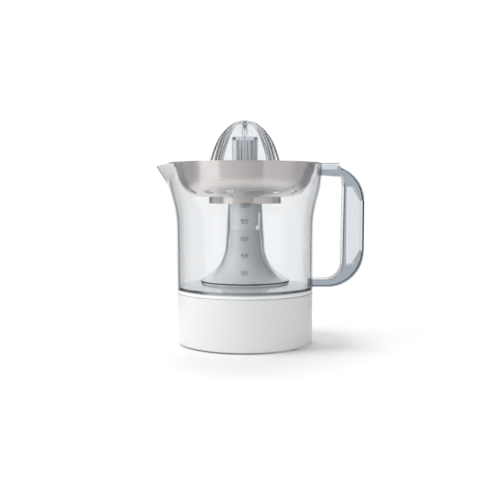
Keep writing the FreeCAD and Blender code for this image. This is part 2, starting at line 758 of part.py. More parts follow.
def make_jug_handle():
    body = doc.addObject("PartDesign::Body", "handle_bar")
    root_x = JUG_RADIUS - S.handle_arm
    inner_low = HANDLE_BOTTOM + S.handle_arm
    under_arm = HANDLE_TOP - S.handle_top_arm
    grip_top = under_arm - S.handle_arm
    crown_across = CROWN_REACH - HANDLE_REACH + S.handle_upper_round
    crown_rise = root(S.handle_upper_round * S.handle_upper_round - crown_across * crown_across)
    crown = HANDLE_SHOULDER + crown_rise
    sketch = outline(body, "handle_outline", "XZ_Plane", [
        (root_x, HANDLE_BOTTOM),
        (HANDLE_REACH - S.handle_lower_round, HANDLE_BOTTOM),
        (HANDLE_REACH, HANDLE_BOTTOM + S.handle_lower_round, S.handle_lower_round),
        (HANDLE_REACH, HANDLE_SHOULDER),
        (CROWN_REACH, crown, S.handle_upper_round),
        (CROWN_REACH - (HANDLE_TOP - crown), HANDLE_TOP),
        (root_x, HANDLE_TOP),
        (root_x, under_arm),
        (GRIP_INNER - S.handle_arm_dip, under_arm - S.handle_arm_dip),
        (GRIP_INNER - S.handle_arm_dip / 4, under_arm + S.handle_arm_dip / 2),
        (GRIP_INNER + S.handle_arm_dip / 2, grip_top),
        (GRIP_INNER, inner_low + S.handle_finger_round),
        (GRIP_INNER - S.handle_finger_round, inner_low, -S.handle_finger_round),
        (root_x, inner_low),
    ])
    bar = body.newObject("PartDesign::Pad", "handle_pad")
    bar.Profile = sketch
    bar.SideType = "Symmetric"
    bind(bar, Length=S.handle_width)
    doc.recompute()
    rims = []
    for number, edge in enumerate(bar.Shape.Edges, start=1):
        long_enough = edge.Length > S.handle_finger_round.number
        centre = edge.BoundBox.Center
        if long_enough and edge.BoundBox.YLength < 0.01 and centre.x > GRIP_INNER.number:
            rims.append(f"Edge{number}")
    rounded = body.newObject("PartDesign::Fillet", "handle_rounds")
    rounded.Base = (bar, rims)
    bind(rounded, Radius=S.handle_round)
    hollow_body = doc.addObject("PartDesign::Body", "handle_hollow")
    web = GRIP_INNER + S.handle_web
    mouth = HANDLE_REACH - S.cover_thickness
    mouth_low = HANDLE_BOTTOM + S.handle_lower_round
    past = HANDLE_REACH + S.handle_web
    hollow = outline(hollow_body, "handle_hollow_outline", "XZ_Plane", [
        (web, mouth_low - S.handle_end_wall),
        (web + S.handle_arm, mouth_low - S.handle_end_wall),
        (mouth, mouth_low),
        (past, mouth_low),
        (past, HANDLE_SHOULDER),
        (mouth, HANDLE_SHOULDER),
        (web + S.handle_arm, HANDLE_SHOULDER + S.handle_end_wall),
        (web, HANDLE_SHOULDER + S.handle_end_wall),
    ])
    room = hollow_body.newObject("PartDesign::Pad", "handle_hollow_pad")
    room.Profile = hollow
    room.SideType = "Symmetric"
    bind(room, Length=S.handle_width - S.handle_side_wall * 2)
    groove = block("handle_tab_groove", (root_x, CROWN_REACH - S.handle_arm_dip),
                   (-S.tab_width / 2 - S.shell_gap, S.tab_width / 2 + S.shell_gap),
                   (HANDLE_TOP - S.tab_groove_depth, HANDLE_TOP + S.handle_arm))
    wall = free_form("handle_wall_seat", wall_core(0))
    return cut("jug_handle", body, [hollow_body, groove, wall])


def make_handle_cover():
    half = S.handle_width / 2 - S.handle_side_wall
    return block("handle_cover", (HANDLE_REACH - S.cover_thickness, HANDLE_REACH), (-half, half),
                 (HANDLE_BOTTOM + S.handle_lower_round, HANDLE_SHOULDER))


# Steel strainer

def slot_ring(body, name, circle, count, turn):
    """Round-ended slots along a circle, cut straight down through the steel."""
    half = S.slot_width / 2
    straight = (S.slot_length - S.slot_width) / 2
    end_round = half * 1.05
    sketch = outline(body, name + "_outline", "XY_Plane", [
        (circle - half, -straight),
        (circle + half, -straight, end_round),
        (circle + half, straight),
        (circle - half, straight, end_round),
    ])
    sketch.AttachmentOffset = FreeCAD.Placement(FreeCAD.Vector(), FreeCAD.Rotation(turn.number, 0, 0))
    sketch.setExpression("AttachmentOffset.Rotation.Angle", turn.formula)
    pocket = body.newObject("PartDesign::Pocket", name + "_pocket")
    pocket.Profile = sketch
    pocket.Type = "ThroughAll"
    pocket.SideType = "Symmetric"
    pattern = body.newObject("PartDesign::PolarPattern", name + "_ring")
    pattern.Originals = [pocket]
    pattern.Axis = (origin_plane(body, "Z_Axis"), [""])
    pattern.Angle = 360
    bind(pattern, Occurrences=count)
    body.Tip = pattern


def make_strainer_bowl():
    steel = S.steel
    rim = JUG_RIM
    lean_across = sine(S.bowl_lean) / cosine(S.bowl_lean)
    corner_z = BOWL_FLOOR + S.bowl_corner
    side_z = corner_z - S.bowl_corner * sine(S.bowl_lean)
    side_r = BOWL_MOUTH - (rim - side_z) * lean_across
    corner_r = side_r - S.bowl_corner * cosine(S.bowl_lean)
    inner_corner = S.bowl_corner - steel
    inner_side_z = corner_z - inner_corner * sine(S.bowl_lean)
    inner_side_r = corner_r + inner_corner * cosine(S.bowl_lean)
    hole = S.column_radius + S.column_clearance
    collar_top = WELL_UNDER + steel + S.well_collar_height
    body = turned("strainer_bowl", [
        (RIM_FLANGE, rim),
        (RIM_FLANGE, rim + steel),
        (inner_side_r + (rim + steel - inner_side_z) * lean_across, rim + steel),
        (inner_side_r, inner_side_z),
        (corner_r, BOWL_FLOOR + steel, -inner_corner),
        (S.well_radius - steel, BOWL_FLOOR + steel),
        (S.well_radius - steel, WELL_UNDER + steel),
        (hole + steel, WELL_UNDER + steel),
        (hole + steel, collar_top),
        (hole, collar_top),
        (hole, WELL_UNDER),
        (S.well_radius, WELL_UNDER),
        (S.well_radius, BOWL_FLOOR),
        (corner_r, BOWL_FLOOR),
        (side_r, side_z, S.bowl_corner),
        (BOWL_MOUTH, rim),
    ])
    half = S.tab_width / 2
    tip = S.tab_width / 5
    tab_sketch = outline(body, "tab_outline", "XY_Plane", [
        (BOWL_MOUTH, -half),
        (TAB_REACH - tip, -half),
        (TAB_REACH, tip - half, tip),
        (TAB_REACH, half - tip),
        (TAB_REACH - tip, half, tip),
        (BOWL_MOUTH, half),
    ])
    tab_sketch.setExpression("AttachmentOffset.Base.z", rim.formula)
    tab = body.newObject("PartDesign::Pad", "tab_pad")
    tab.Profile = tab_sketch
    bind(tab, Length=steel)
    slot_ring(body, "side_slots", S.slot_circle, S.slot_count, S.slot_turn)
    slot_ring(body, "well_slots", S.well_slot_circle, S.well_slot_count, S.slot_turn)
    return body


# Reamer and its shaft

def rib_section(height, crest, valley):
    """One level of the ribbed dome: rounded crests with hollow flutes between them."""
    count = int(S.rib_count.number)
    pitch = 2 * math.pi / count
    crest_half = math.radians(S.rib_crest_angle.number)

    def at(radius, angle):
        return FreeCAD.Vector(radius * math.cos(angle), radius * math.sin(angle), height)

    edges = []
    for rib in range(count):
        middle = rib * pitch
        leave = middle + crest_half
        arrive = middle + pitch - crest_half
        edges.append(Part.Arc(at(crest, middle - crest_half), at(crest, middle), at(crest, leave)).toShape())
        edges.append(Part.Arc(at(crest, leave), at(valley, middle + pitch / 2), at(crest, arrive)).toShape())
    return Part.Wire(edges)


def ribbed_dome(inset):
    """Ellipse dome with ribs, moved in by inset all over."""
    waist = REAMER_WAIST.number
    rise = REAMER_TOP.number - waist - inset
    girth = S.reamer_radius.number - inset
    depth_share = S.rib_depth.number / S.reamer_radius.number
    foot = SKIRT_HEIGHT.number
    sections = [rib_section(foot, girth, girth * (1 - depth_share))]
    for step in (0.0, 0.25, 0.5, 0.7, 0.85, 0.94, 0.985):
        crest = girth * math.sqrt(1 - step * step)
        sections.append(rib_section(waist + rise * step, crest, crest * (1 - depth_share)))
    sections.append(Part.Vertex(0, 0, waist + rise))
    return Part.makeLoft(sections, True, False)


def make_reamer():
    foot = SKIRT_HEIGHT.number
    dome = ribbed_dome(0)
    hollow = ribbed_dome(S.reamer_wall.number)
    tube_foot = (SKIRT_HEIGHT + S.skirt_thickness).number
    tube_top = HEAD_TOP.number + S.reamer_wall.number
    corner = S.head_radius.number + S.socket_clearance.number
    tube = Part.makeCylinder(corner + S.socket_wall.number, tube_top - tube_foot,
                             FreeCAD.Vector(0, 0, tube_foot))
    points = [FreeCAD.Rotation(60 * n, 0, 0).multVec(FreeCAD.Vector(corner, 0, foot)) for n in range(7)]
    socket = Part.Face(Part.makePolygon(points)).extrude(FreeCAD.Vector(0, 0, HEAD_TOP.number - foot))
    webs = []
    web = S.reamer_wall.number * 0.6
    for turn in range(0, 360, 90):
        rib = Part.makeBox(S.reamer_radius.number, web, REAMER_TOP.number - HEAD_TOP.number + tube_top - foot,
                           FreeCAD.Vector(0, -web / 2, REAMER_WAIST.number))
        rib.rotate(FreeCAD.Vector(), FreeCAD.Vector(0, 0, 1), turn)
        webs.append(rib)
    inside = tube.fuse(webs).common(hollow)
    shell = dome.cut(hollow).fuse(inside).cut(socket)
    return free_form("reamer", shell)


def make_drive_shaft():
    groove_top = BUSH_BOTTOM + S.bush_height
    skirt_under = SKIRT_HEIGHT
    lip_low = SKIRT_HEIGHT - S.skirt_lip
    lip_inner = S.skirt_radius - S.skirt_thickness
    solid = turned("shaft_turning", [
        (0, SHAFT_FOOT),
        (SHAFT_NECK, SHAFT_FOOT),
        (SHAFT_NECK, SHAFT_STEP),
        (SHAFT_RADIUS, SHAFT_STEP),
        (SHAFT_RADIUS, BUSH_BOTTOM),
        (SHAFT_RADIUS - S.bush_groove, BUSH_BOTTOM),
        (SHAFT_RADIUS - S.bush_groove, groove_top),
        (SHAFT_RADIUS, groove_top),
        (SHAFT_RADIUS, skirt_under),
        (lip_inner, skirt_under),
        (lip_inner, lip_low),
        (S.skirt_radius, lip_low),
        (S.skirt_radius, skirt_under),
        (S.skirt_radius - S.skirt_thickness, skirt_under + S.skirt_thickness, S.skirt_thickness),
        (0, skirt_under + S.skirt_thickness),
    ])
    head = hexagon("shaft_head", S.head_radius, HEAD_TOP - skirt_under, skirt_under)
    socket = hexagon("shaft_socket", S.coupling_radius + S.socket_clearance,
                     S.coupling_length + S.socket_clearance, SHAFT_FOOT)
    return cut("drive_shaft", fused("shaft_solid", [solid, head]), [socket])


def make_shaft_bush():
    bore = SHAFT_RADIUS - S.bush_groove + S.running_clearance
    low = BUSH_BOTTOM + S.running_clearance
    high = BUSH_BOTTOM + S.bush_height - S.running_clearance
    outer = COLUMN_BORE - S.sliding_clearance
    ring = turned("bush_ring", [(bore, low), (outer, low), (outer, high), (bore, high)])
    slit = block("bush_slit_cut", (0, outer * 2), (-S.bush_slit / 2, S.bush_slit / 2), (low, high))
    return cut("shaft_bush", ring, [slit])


# Spindle

def make_output_spindle():
    top = SHAFT_FOOT + S.coupling_length - S.bush_groove * 3
    rod = cylinder("spindle_rod", S.spindle_radius, top - SPINDLE_FOOT, z=SPINDLE_FOOT)
    reach = S.spindle_radius * 2
    flat = block("spindle_flat_cut", (S.spindle_radius - S.spindle_flat, reach), (-reach, reach),
                 (GEAR_FLOOR - S.press_travel, GEAR_CEILING + S.press_travel * 2))
    return cut("output_spindle", rod, [flat])


def make_spindle_coupling():
    bottom = SHAFT_FOOT - S.coupling_flange
    spindle_top = SHAFT_FOOT + S.coupling_length - S.bush_groove * 3
    post = hexagon("coupling_post", S.coupling_radius, S.coupling_length, SHAFT_FOOT)
    flange = cylinder("coupling_disc", COUPLING_DISC, S.coupling_flange, z=bottom)
    bore = cylinder("coupling_bore", S.spindle_radius, spindle_top - bottom, z=bottom)
    return cut("spindle_coupling", fused("coupling_solid", [post, flange]), [bore])


# Gear train

def involute(angle):
    return math.tan(angle) - angle


def toothed(module, teeth, centre, towards, low, high, tooth_faces):
    """Spur wheel whose tooth, or tooth gap, points at another wheel's centre."""
    pressure = math.radians(S.pressure_angle.number)
    pitch_radius = module * teeth / 2
    base_radius = pitch_radius * math.cos(pressure)
    tip_radius = pitch_radius + 0.95 * module
    root_radius = pitch_radius - 1.2 * module
    thickness = math.pi * module / 2 - S.tooth_backlash.number / 2
    pitch = 2 * math.pi / teeth
    aim = math.atan2(towards.y - centre.y, towards.x - centre.x)
    phase = aim if tooth_faces else aim + pitch / 2

    def half_angle(radius):
        working = math.acos(min(1.0, base_radius / radius))
        return thickness / (2 * pitch_radius) + involute(pressure) - involute(working)

    def at(radius, angle):
        return FreeCAD.Vector(radius * math.cos(angle), radius * math.sin(angle), 0)

    low_flank = max(base_radius, root_radius)
    middle = (low_flank + tip_radius) / 2
    edges = []
    for tooth in range(teeth):
        mid = phase + tooth * pitch
        for side in (-1, 1):
            foot = at(root_radius, mid + side * half_angle(low_flank))
            flank = [at(r, mid + side * half_angle(r)) for r in (low_flank, middle, tip_radius)]
            if root_radius < low_flank:
                edges.append(Part.LineSegment(foot, flank[0]).toShape())
            edges.append(Part.Arc(*flank).toShape())
        tip = half_angle(tip_radius)
        gap = half_angle(low_flank)
        crest = [at(tip_radius, mid + tip * side) for side in (-1, 0, 1)]
        edges.append(Part.Arc(*crest).toShape())
        edges.append(Part.Arc(at(root_radius, mid + gap), at(root_radius, mid + pitch / 2),
                              at(root_radius, mid + pitch - gap)).toShape())
    face = Part.Face(Part.Wire(Part.__sortEdges__(edges)))
    face.translate(FreeCAD.Vector(centre.x, centre.y, low))
    return face.extrude(FreeCAD.Vector(0, 0, high - low))


def rod_at(centre, radius, low, high):
    return Part.makeCylinder(radius, high - low, FreeCAD.Vector(centre.x, centre.y, low))


GEAR_LOW = (GEAR_FLOOR + S.gear_gap).number
FIRST_TOP = GEAR_LOW + S.gear_face.number
SECOND_LOW = FIRST_TOP + S.gear_gap.number
SECOND_TOP = SECOND_LOW + S.gear_face.number
OUTPUT_LOW = SECOND_TOP + S.gear_gap.number * 1.5
OUTPUT_TOP = OUTPUT_LOW + S.gear_face.number
HUB_LOW = (GEAR_FLOOR + S.gear_end_play).number
HUB_TOP = (GEAR_CEILING - S.gear_end_play).number
PINION = int(S.pinion_teeth.number)


def compound_gear(name, centre, wheel, pinion):
    bore = rod_at(centre, (S.axle_radius + S.running_clearance).number, HUB_LOW, HUB_TOP)
    hub = rod_at(centre, S.gear_hub_radius.number, HUB_LOW, HUB_TOP)
    return free_form(name, wheel.fuse([pinion, hub]).cut(bore).removeSplitter())


def make_first_gear():
    wheel = toothed(S.first_module.number, int(S.first_teeth.number), FIRST_CENTRE, ROTOR_CENTRE,
                    GEAR_LOW, FIRST_TOP, False)
    pinion = toothed(S.second_module.number, PINION, FIRST_CENTRE, SECOND_CENTRE,
                     FIRST_TOP, SECOND_TOP + S.gear_gap.number / 2, True)
    return compound_gear("first_gear", FIRST_CENTRE, wheel, pinion)


def make_second_gear():
    wheel = toothed(S.second_module.number, int(S.second_teeth.number), SECOND_CENTRE, FIRST_CENTRE,
                    SECOND_LOW, SECOND_TOP, False)
    pinion = toothed(S.output_module.number, PINION, SECOND_CENTRE, FreeCAD.Vector(),
                     SECOND_TOP, OUTPUT_TOP + S.gear_gap.number / 2, True)
    return compound_gear("second_gear", SECOND_CENTRE, wheel, pinion)


def make_output_gear():
    centre = FreeCAD.Vector()
    wheel = toothed(S.output_module.number, int(S.output_teeth.number), centre, SECOND_CENTRE,
                    OUTPUT_LOW, OUTPUT_TOP, False)
    hub = rod_at(centre, S.output_hub_radius.number, HUB_LOW, HUB_TOP)
    clearance = S.running_clearance.number
    radius = S.spindle_radius.number + clearance
    bore = rod_at(centre, radius, HUB_LOW, HUB_TOP)
    flat_x = S.spindle_radius.number - S.spindle_flat.number + clearance
    corner = FreeCAD.Vector(-radius, -radius, HUB_LOW)
    keep = Part.makeBox(radius + flat_x, radius * 2, HUB_TOP - HUB_LOW, corner)
    return free_form("output_gear", wheel.fuse(hub).cut(bore.common(keep)).removeSplitter())


def make_gear_axles():
    low = GEAR_PLATE.number
    high = (GEAR_CEILING + S.gear_plate_thickness).number
    axles = [rod_at(centre, S.axle_radius.number, low, high) for centre in (FIRST_CENTRE, SECOND_CENTRE)]
    return free_form("gear_axles", Part.makeCompound(axles))


def gear_plate(name, low):
    """Plate spanning the four pillars, with its corners rounded about them."""
    thickness = S.gear_plate_thickness.number
    points = [FreeCAD.Vector(x.number, y.number, low) for x, y in PILLARS]
    face = Part.Face(Part.makePolygon(points + points[:1]))
    plate = face.makeOffset2D(S.gear_plate_margin.number).extrude(FreeCAD.Vector(0, 0, thickness))
    holes = [rod_at(point, S.gear_screw_radius.number, low, low + thickness) for point in points]
    holes += [rod_at(c, S.axle_radius.number, low, low + thickness) for c in (FIRST_CENTRE, SECOND_CENTRE)]
    spindle_hole = S.spindle_radius.number + S.running_clearance.number
    holes.append(rod_at(FreeCAD.Vector(), spindle_hole, low, low + thickness))
    return free_form(name, plate.cut(holes))


def make_gear_pillars():
    pillars = []
    for n, (x, y) in enumerate(PILLARS):
        rod = cylinder(f"pillar_rod_{n}", S.pillar_radius, S.gear_room, x, y, GEAR_FLOOR)
        bore = cylinder(f"pillar_bore_{n}", S.gear_screw_radius, S.gear_room, x, y, GEAR_FLOOR)
        pillars.append(cut(f"pillar_{n}", rod, [bore]))
    return group("gear_pillars", pillars)


def make_gear_screws():
    high = GEAR_CEILING + S.gear_plate_thickness
    return group("gear_screws", [screw(f"gear_screw_{n}", S.gear_screw_radius, x, y,
                                       GEAR_PLATE / 2, high, True)
                                 for n, (x, y) in enumerate(PILLARS)])


# Motor

def make_stator_core():
    half = S.core_width / 2
    slot_half = half - S.core_leg
    stack = block("core_stack", (CORE_LEFT, CORE_RIGHT), (MOTOR_Y - half, MOTOR_Y + half),
                  (CORE_BOTTOM, CORE_TOP))
    tools = [
        block("core_slot", (CORE_LEFT + S.core_leg, CORE_RIGHT - S.pole_length),
              (MOTOR_Y - slot_half, MOTOR_Y + slot_half), (CORE_BOTTOM, CORE_TOP)),
        cylinder("core_bore", S.rotor_radius + S.air_gap, S.core_height,
                 S.rotor_across, MOTOR_Y, CORE_BOTTOM),
        block("core_slit", (CORE_LEFT + S.core_leg, CORE_RIGHT),
              (MOTOR_Y - S.pole_slit / 2, MOTOR_Y + S.pole_slit / 2), (CORE_BOTTOM, CORE_TOP)),
    ]
    tools += [cylinder(f"core_screw_hole_{n}", S.motor_screw_radius, S.core_height, x, y, CORE_BOTTOM)
              for n, (x, y) in enumerate(MOTOR_SCREWS)]
    return cut("stator_core", stack, tools)


def leg_block(name, side, grow, x_span):
    """Block round one leg of the core, larger than the leg by grow on every side."""
    centre = MOTOR_Y + (S.core_width - S.core_leg) / 2 * side
    half = S.core_leg / 2 + grow
    return block(name, x_span, (centre - half, centre + half), (CORE_BOTTOM - grow, CORE_TOP + grow))


COIL_LOW = CORE_LEFT + S.core_leg + S.bobbin_end_gap
COIL_HIGH = CORE_RIGHT - S.pole_length - S.bobbin_end_gap


def make_coil_bobbins():
    bobbins = []
    for side in (-1, 1):
        name = f"bobbin_{side + 1}"
        wall = S.bobbin_wall
        spool = fused(name + "_spool", [
            leg_block(name + "_tube", side, wall, (COIL_LOW, COIL_HIGH)),
            leg_block(name + "_left", side, S.coil_build, (COIL_LOW, COIL_LOW + wall)),
            leg_block(name + "_right", side, S.coil_build, (COIL_HIGH - wall, COIL_HIGH)),
        ])
        bobbins.append(cut(name, spool, [leg_block(name + "_leg", side, as_size(0), (COIL_LOW, COIL_HIGH))]))
    return group("coil_bobbins", bobbins)


def make_coil_windings():
    coils = []
    for side in (-1, 1):
        name = f"coil_{side + 1}"
        span = (COIL_LOW + S.bobbin_wall, COIL_HIGH - S.bobbin_wall)
        full = leg_block(name + "_wire", side, S.coil_build - S.bobbin_wall / 2, span)
        coils.append(cut(name, full, [leg_block(name + "_spool", side, S.bobbin_wall, span)]))
    return group("coil_windings", coils)


def make_rotor_magnet():
    low = CORE_BOTTOM + S.air_gap
    length = S.core_height - S.air_gap * 2
    magnet = cylinder("magnet_rod", S.rotor_radius, length, S.rotor_across, MOTOR_Y, low)
    bore = cylinder("magnet_bore", S.rotor_shaft_radius, length, S.rotor_across, MOTOR_Y, low)
    return cut("rotor_magnet", magnet, [bore])


def make_rotor_shaft():
    low = PLATE_TOP + S.gear_gap
    length = as_size(FIRST_TOP) - low
    return cylinder("rotor_shaft", S.rotor_shaft_radius, length, S.rotor_across, MOTOR_Y, low)


def make_rotor_pinion():
    wheel = toothed(S.first_module.number, PINION, ROTOR_CENTRE, FIRST_CENTRE, GEAR_LOW, FIRST_TOP, True)
    bore = rod_at(ROTOR_CENTRE, S.rotor_shaft_radius.number, GEAR_LOW, FIRST_TOP)
    return free_form("rotor_pinion", wheel.cut(bore))


def make_rotor_bridge():
    half = S.core_width / 2
    plate = block("bridge_plate", (CORE_RIGHT - S.bridge_reach, CORE_RIGHT), (MOTOR_Y - half, MOTOR_Y + half),
                  (CORE_TOP, CORE_TOP + S.bridge_thickness))
    holes = [cylinder("bridge_seat", S.rotor_bearing_radius, S.bridge_thickness,
                      S.rotor_across, MOTOR_Y, CORE_TOP)]
    holes += [cylinder(f"bridge_hole_{n}", S.motor_screw_radius, S.bridge_thickness, x, y, CORE_TOP)
              for n, (x, y) in enumerate(MOTOR_SCREWS[:2])]
    return cut("rotor_bridge", plate, holes)


def make_rotor_bearings():
    bearings = []
    for name, low in (("upper", CORE_TOP), ("lower", CORE_BOTTOM - S.shell_gap - S.rotor_bearing_length)):
        sleeve = cylinder(f"bearing_{name}_sleeve", S.rotor_bearing_radius, S.rotor_bearing_length,
                          S.rotor_across, MOTOR_Y, low)
        bore = cylinder(f"bearing_{name}_bore", S.rotor_shaft_radius + S.running_clearance,
                        S.rotor_bearing_length, S.rotor_across, MOTOR_Y, low)
        bearings.append(cut(f"bearing_{name}", sleeve, [bore]))
    return group("rotor_bearings", bearings)


def make_motor_screws():
    tops = (CORE_TOP + S.bridge_thickness, CORE_TOP + S.bridge_thickness, CORE_TOP)
    return group("motor_screws", [screw(f"motor_screw_{n}", S.motor_screw_radius, x, y, PLATE_TOP, top, True)
                                  for n, ((x, y), top) in enumerate(zip(MOTOR_SCREWS, tops))])


# Start switch under the spindle

ARM_UNDER = SPINDLE_FOOT - S.plunger_wall * 1.5


def make_switch_plunger():
    low = SPINDLE_FOOT - S.plunger_length
    cup = cylinder("plunger_cup", S.plunger_radius, S.plunger_length, z=low)
    arm = block("plunger_arm", (-S.plunger_arm_reach, 0), (-S.plunger_arm_width / 2, S.plunger_arm_width / 2),
                (ARM_UNDER, SPINDLE_FOOT))
    room = cylinder("plunger_room", S.plunger_radius - S.plunger_wall, ARM_UNDER - low, z=low)
    return cut("switch_plunger", fused("plunger_solid", [cup, arm]), [room])


def biarc(start, start_way, end, end_way):
    """Two arcs that leave start and reach end along the given unit directions."""
    chord = end - start
    ways = start_way + end_way
    square = 2 * (1 - start_way.dot(end_way))
    lead = chord.dot(ways)
    reach = (-lead + math.sqrt(lead * lead + square * chord.dot(chord))) / square
    corner_a = start + start_way * reach
    corner_b = end - end_way * reach
    joint = (corner_a + corner_b) * 0.5

    def arc(first, corner, last):
        half = (last - first) * 0.5
        middle = first + half
        out = corner - middle
        sagitta = half.Length * math.tan(math.atan2(out.Length, half.Length) / 2)
        return Part.Arc(first, middle + out.normalize() * sagitta, last).toShape()

    return [arc(start, corner_a, joint), arc(joint, corner_b, end)]


def make_return_spring():
    radius = S.spring_radius.number
    wire = S.spring_wire.number / 2
    low = PLATE_TOP.number + wire
    high = ARM_UNDER.number - wire
    steps = int(S.spring_turns.number) * 4
    climb = (high - low) / steps

    def point(step):
        angle = step * math.pi / 2
        return FreeCAD.Vector(radius * math.cos(angle), radius * math.sin(angle), low + climb * step)

    def way(step):
        angle = step * math.pi / 2
        quarter = radius * math.pi / 2
        return FreeCAD.Vector(-quarter * math.sin(angle), quarter * math.cos(angle), climb).normalize()

    edges = []
    for step in range(steps):
        edges += biarc(point(step), way(step), point(step + 1), way(step + 1))
    section = Part.Wire(Part.makeCircle(wire, point(0), way(0)))
    return free_form("return_spring", Part.Wire(edges).makePipeShell([section], True, False))


def make_micro_switch():
    half = S.switch_width / 2
    left = -S.switch_offset - S.switch_length
    top = PLATE_TOP + S.switch_height
    case = block("switch_case", (left, -S.switch_offset), (-half, half), (PLATE_TOP, top))
    pivot_z = PLATE_TOP + S.lever_height
    ear_size = S.lever_pivot_radius * 2
    ears = []
    for n, side in enumerate((-1, 1)):
        edge = half * side
        span = (edge, edge + S.gear_gap) if side < 0 else (edge - S.gear_gap, edge)
        ears.append(block(f"switch_ear_{n}", (left, left + ear_size * 2), span,
                          (PLATE_TOP, pivot_z + ear_size)))
    pin = cylinder("switch_pin_hole", S.lever_pivot_radius + S.running_clearance, S.switch_width,
                   left + ear_size, -half, pivot_z)
    pin.Placement.Rotation = FreeCAD.Rotation(FreeCAD.Vector(1, 0, 0), -90)
    return cut("micro_switch", fused("switch_solid", [case] + ears), [pin])


def make_switch_lever():
    """Leaf that lies under the plunger's arm, on a pin between the switch's ears."""
    left = -S.switch_offset.number - S.switch_length.number
    pivot = FreeCAD.Vector(left + S.lever_pivot_radius.number * 2, 0, (PLATE_TOP + S.lever_height).number)
    tip_x = -S.plunger_arm_reach.number + S.plunger_arm_width.number / 2
    tip_z = (ARM_UNDER - S.lever_gap - S.lever_thickness).number
    length = math.hypot(tip_x - pivot.x, tip_z - pivot.z)
    lean = math.degrees(math.atan2(tip_z - pivot.z, tip_x - pivot.x))
    half = S.plunger_arm_width.number / 2
    leaf = Part.makeBox(length, half * 2, S.lever_thickness.number, FreeCAD.Vector(0, -half, 0))
    leaf.rotate(FreeCAD.Vector(), FreeCAD.Vector(0, 1, 0), -lean)
    leaf.translate(pivot)
    pin_end = FreeCAD.Vector(pivot.x, -S.switch_width.number / 2, pivot.z)
    pin = Part.makeCylinder(S.lever_pivot_radius.number, S.switch_width.number, pin_end,
                            FreeCAD.Vector(0, 1, 0))
    return free_form("switch_lever", leaf.fuse(pin).removeSplitter())


PIECES = [
    make_base_housing(),
    make_cord_gland(),
    make_base_plate(),
    make_rubber_feet(),
    make_base_screws(),
    make_drive_tower(),
    make_tower_bush(),
    make_jug_floor(),
    make_jug_wall(),
    make_jug_handle(),
    make_handle_cover(),
    make_strainer_bowl(),
    make_reamer(),
    make_drive_shaft(),
    make_shaft_bush(),
    make_output_spindle(),
    make_spindle_coupling(),
    make_first_gear(),
    make_second_gear(),
    make_output_gear(),
    make_gear_axles(),
    gear_plate("lower_gear_plate", GEAR_PLATE.number),
    gear_plate("upper_gear_plate", GEAR_CEILING.number),
    make_gear_pillars(),
    make_gear_screws(),
    make_stator_core(),
    make_coil_bobbins(),
    make_coil_windings(),
    make_rotor_magnet(),
    make_rotor_shaft(),
    make_rotor_pinion(),
    make_rotor_bridge(),
    make_rotor_bearings(),
    make_motor_screws(),
    make_switch_plunger(),
    make_return_spring(),
    make_micro_switch(),
    make_switch_lever(),
]

doc.recompute()
for thing in doc.Objects:
    if "Invalid" in thing.State or "Error" in thing.State:
        raise RuntimeError(f"{thing.Name} failed: {thing.State}")
for piece in PIECES:
    if piece.Shape.isNull() or not piece.Shape.isValid():
        raise RuntimeError(f"{piece.Label} has no valid shape")

os.makedirs("parts", exist_ok=True)
for piece in PIECES:
    piece.Shape.exportStep(f"parts/{piece.Label}.step")
    print(piece.Label, len(piece.Shape.Solids), round(piece.Shape.Volume, 1))
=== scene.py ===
import json
import math

import bpy
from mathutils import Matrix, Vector


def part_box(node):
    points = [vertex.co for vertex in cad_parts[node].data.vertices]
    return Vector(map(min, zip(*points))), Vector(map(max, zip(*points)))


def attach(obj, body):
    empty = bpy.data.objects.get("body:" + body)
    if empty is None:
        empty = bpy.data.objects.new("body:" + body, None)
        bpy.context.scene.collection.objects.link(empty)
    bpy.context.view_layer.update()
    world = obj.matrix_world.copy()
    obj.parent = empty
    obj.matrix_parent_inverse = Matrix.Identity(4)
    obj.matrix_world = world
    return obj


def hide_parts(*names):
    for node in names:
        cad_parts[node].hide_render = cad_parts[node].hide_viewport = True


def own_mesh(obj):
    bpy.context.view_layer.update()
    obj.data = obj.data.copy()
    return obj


# Citrus press on pale paper: clear jug and reamer, spun steel strainer, white drum.
# Metres, +Z up, handle at +X, the printed scale on the -Y side.

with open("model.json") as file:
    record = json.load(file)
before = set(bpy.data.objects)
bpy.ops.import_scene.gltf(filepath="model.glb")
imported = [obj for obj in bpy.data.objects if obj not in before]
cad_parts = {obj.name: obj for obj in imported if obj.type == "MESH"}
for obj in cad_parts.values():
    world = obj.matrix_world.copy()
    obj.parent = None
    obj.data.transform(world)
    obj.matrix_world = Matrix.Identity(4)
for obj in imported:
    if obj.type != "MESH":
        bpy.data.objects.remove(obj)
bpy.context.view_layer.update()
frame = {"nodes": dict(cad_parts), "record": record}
nodes = frame["nodes"]

MM = 0.001
OUTSIDE = 150 * MM
EDGE_MARGIN = 0.02 * MM
MERGE_DISTANCE = 0.02 * MM
SMOOTH_ANGLE = math.radians(40)

# Camera
CAMERA_DISTANCE = 0.800
CAMERA_ACROSS = 0.005
EYE_HEIGHT = 0.1501
CAMERA_PITCH = math.radians(4.1)
LENS_MM = 57.6
SENSOR_MM = 36.0

# Jug wall and spout
WALL_THICKNESS = 2.4 * MM
WALL_ROWS = 64
WALL_COLUMNS = 288
GATHER = 0.35
SPOUT_START = 152 * MM
SPOUT_REACH = 13.2 * MM
SPOUT_CURVE = 1.4
SPOUT_DROP = 2.9 * MM
NOSE_RADIUS = 8 * MM

# Collar seam: a thin dark hoop in the joint, its darkness painted shade
SEAM_SIDES = 180
SEAM_RADIUS = 67.46 * MM
SEAM_HEIGHT = 0.5 * MM
SEAM_LEVEL = 51.25 * MM
SEAM_THICKNESS = 0.16 * MM
SEAM_EDGE = SEAM_THICKNESS / 4
SEAM_EDGE_STEPS = 2

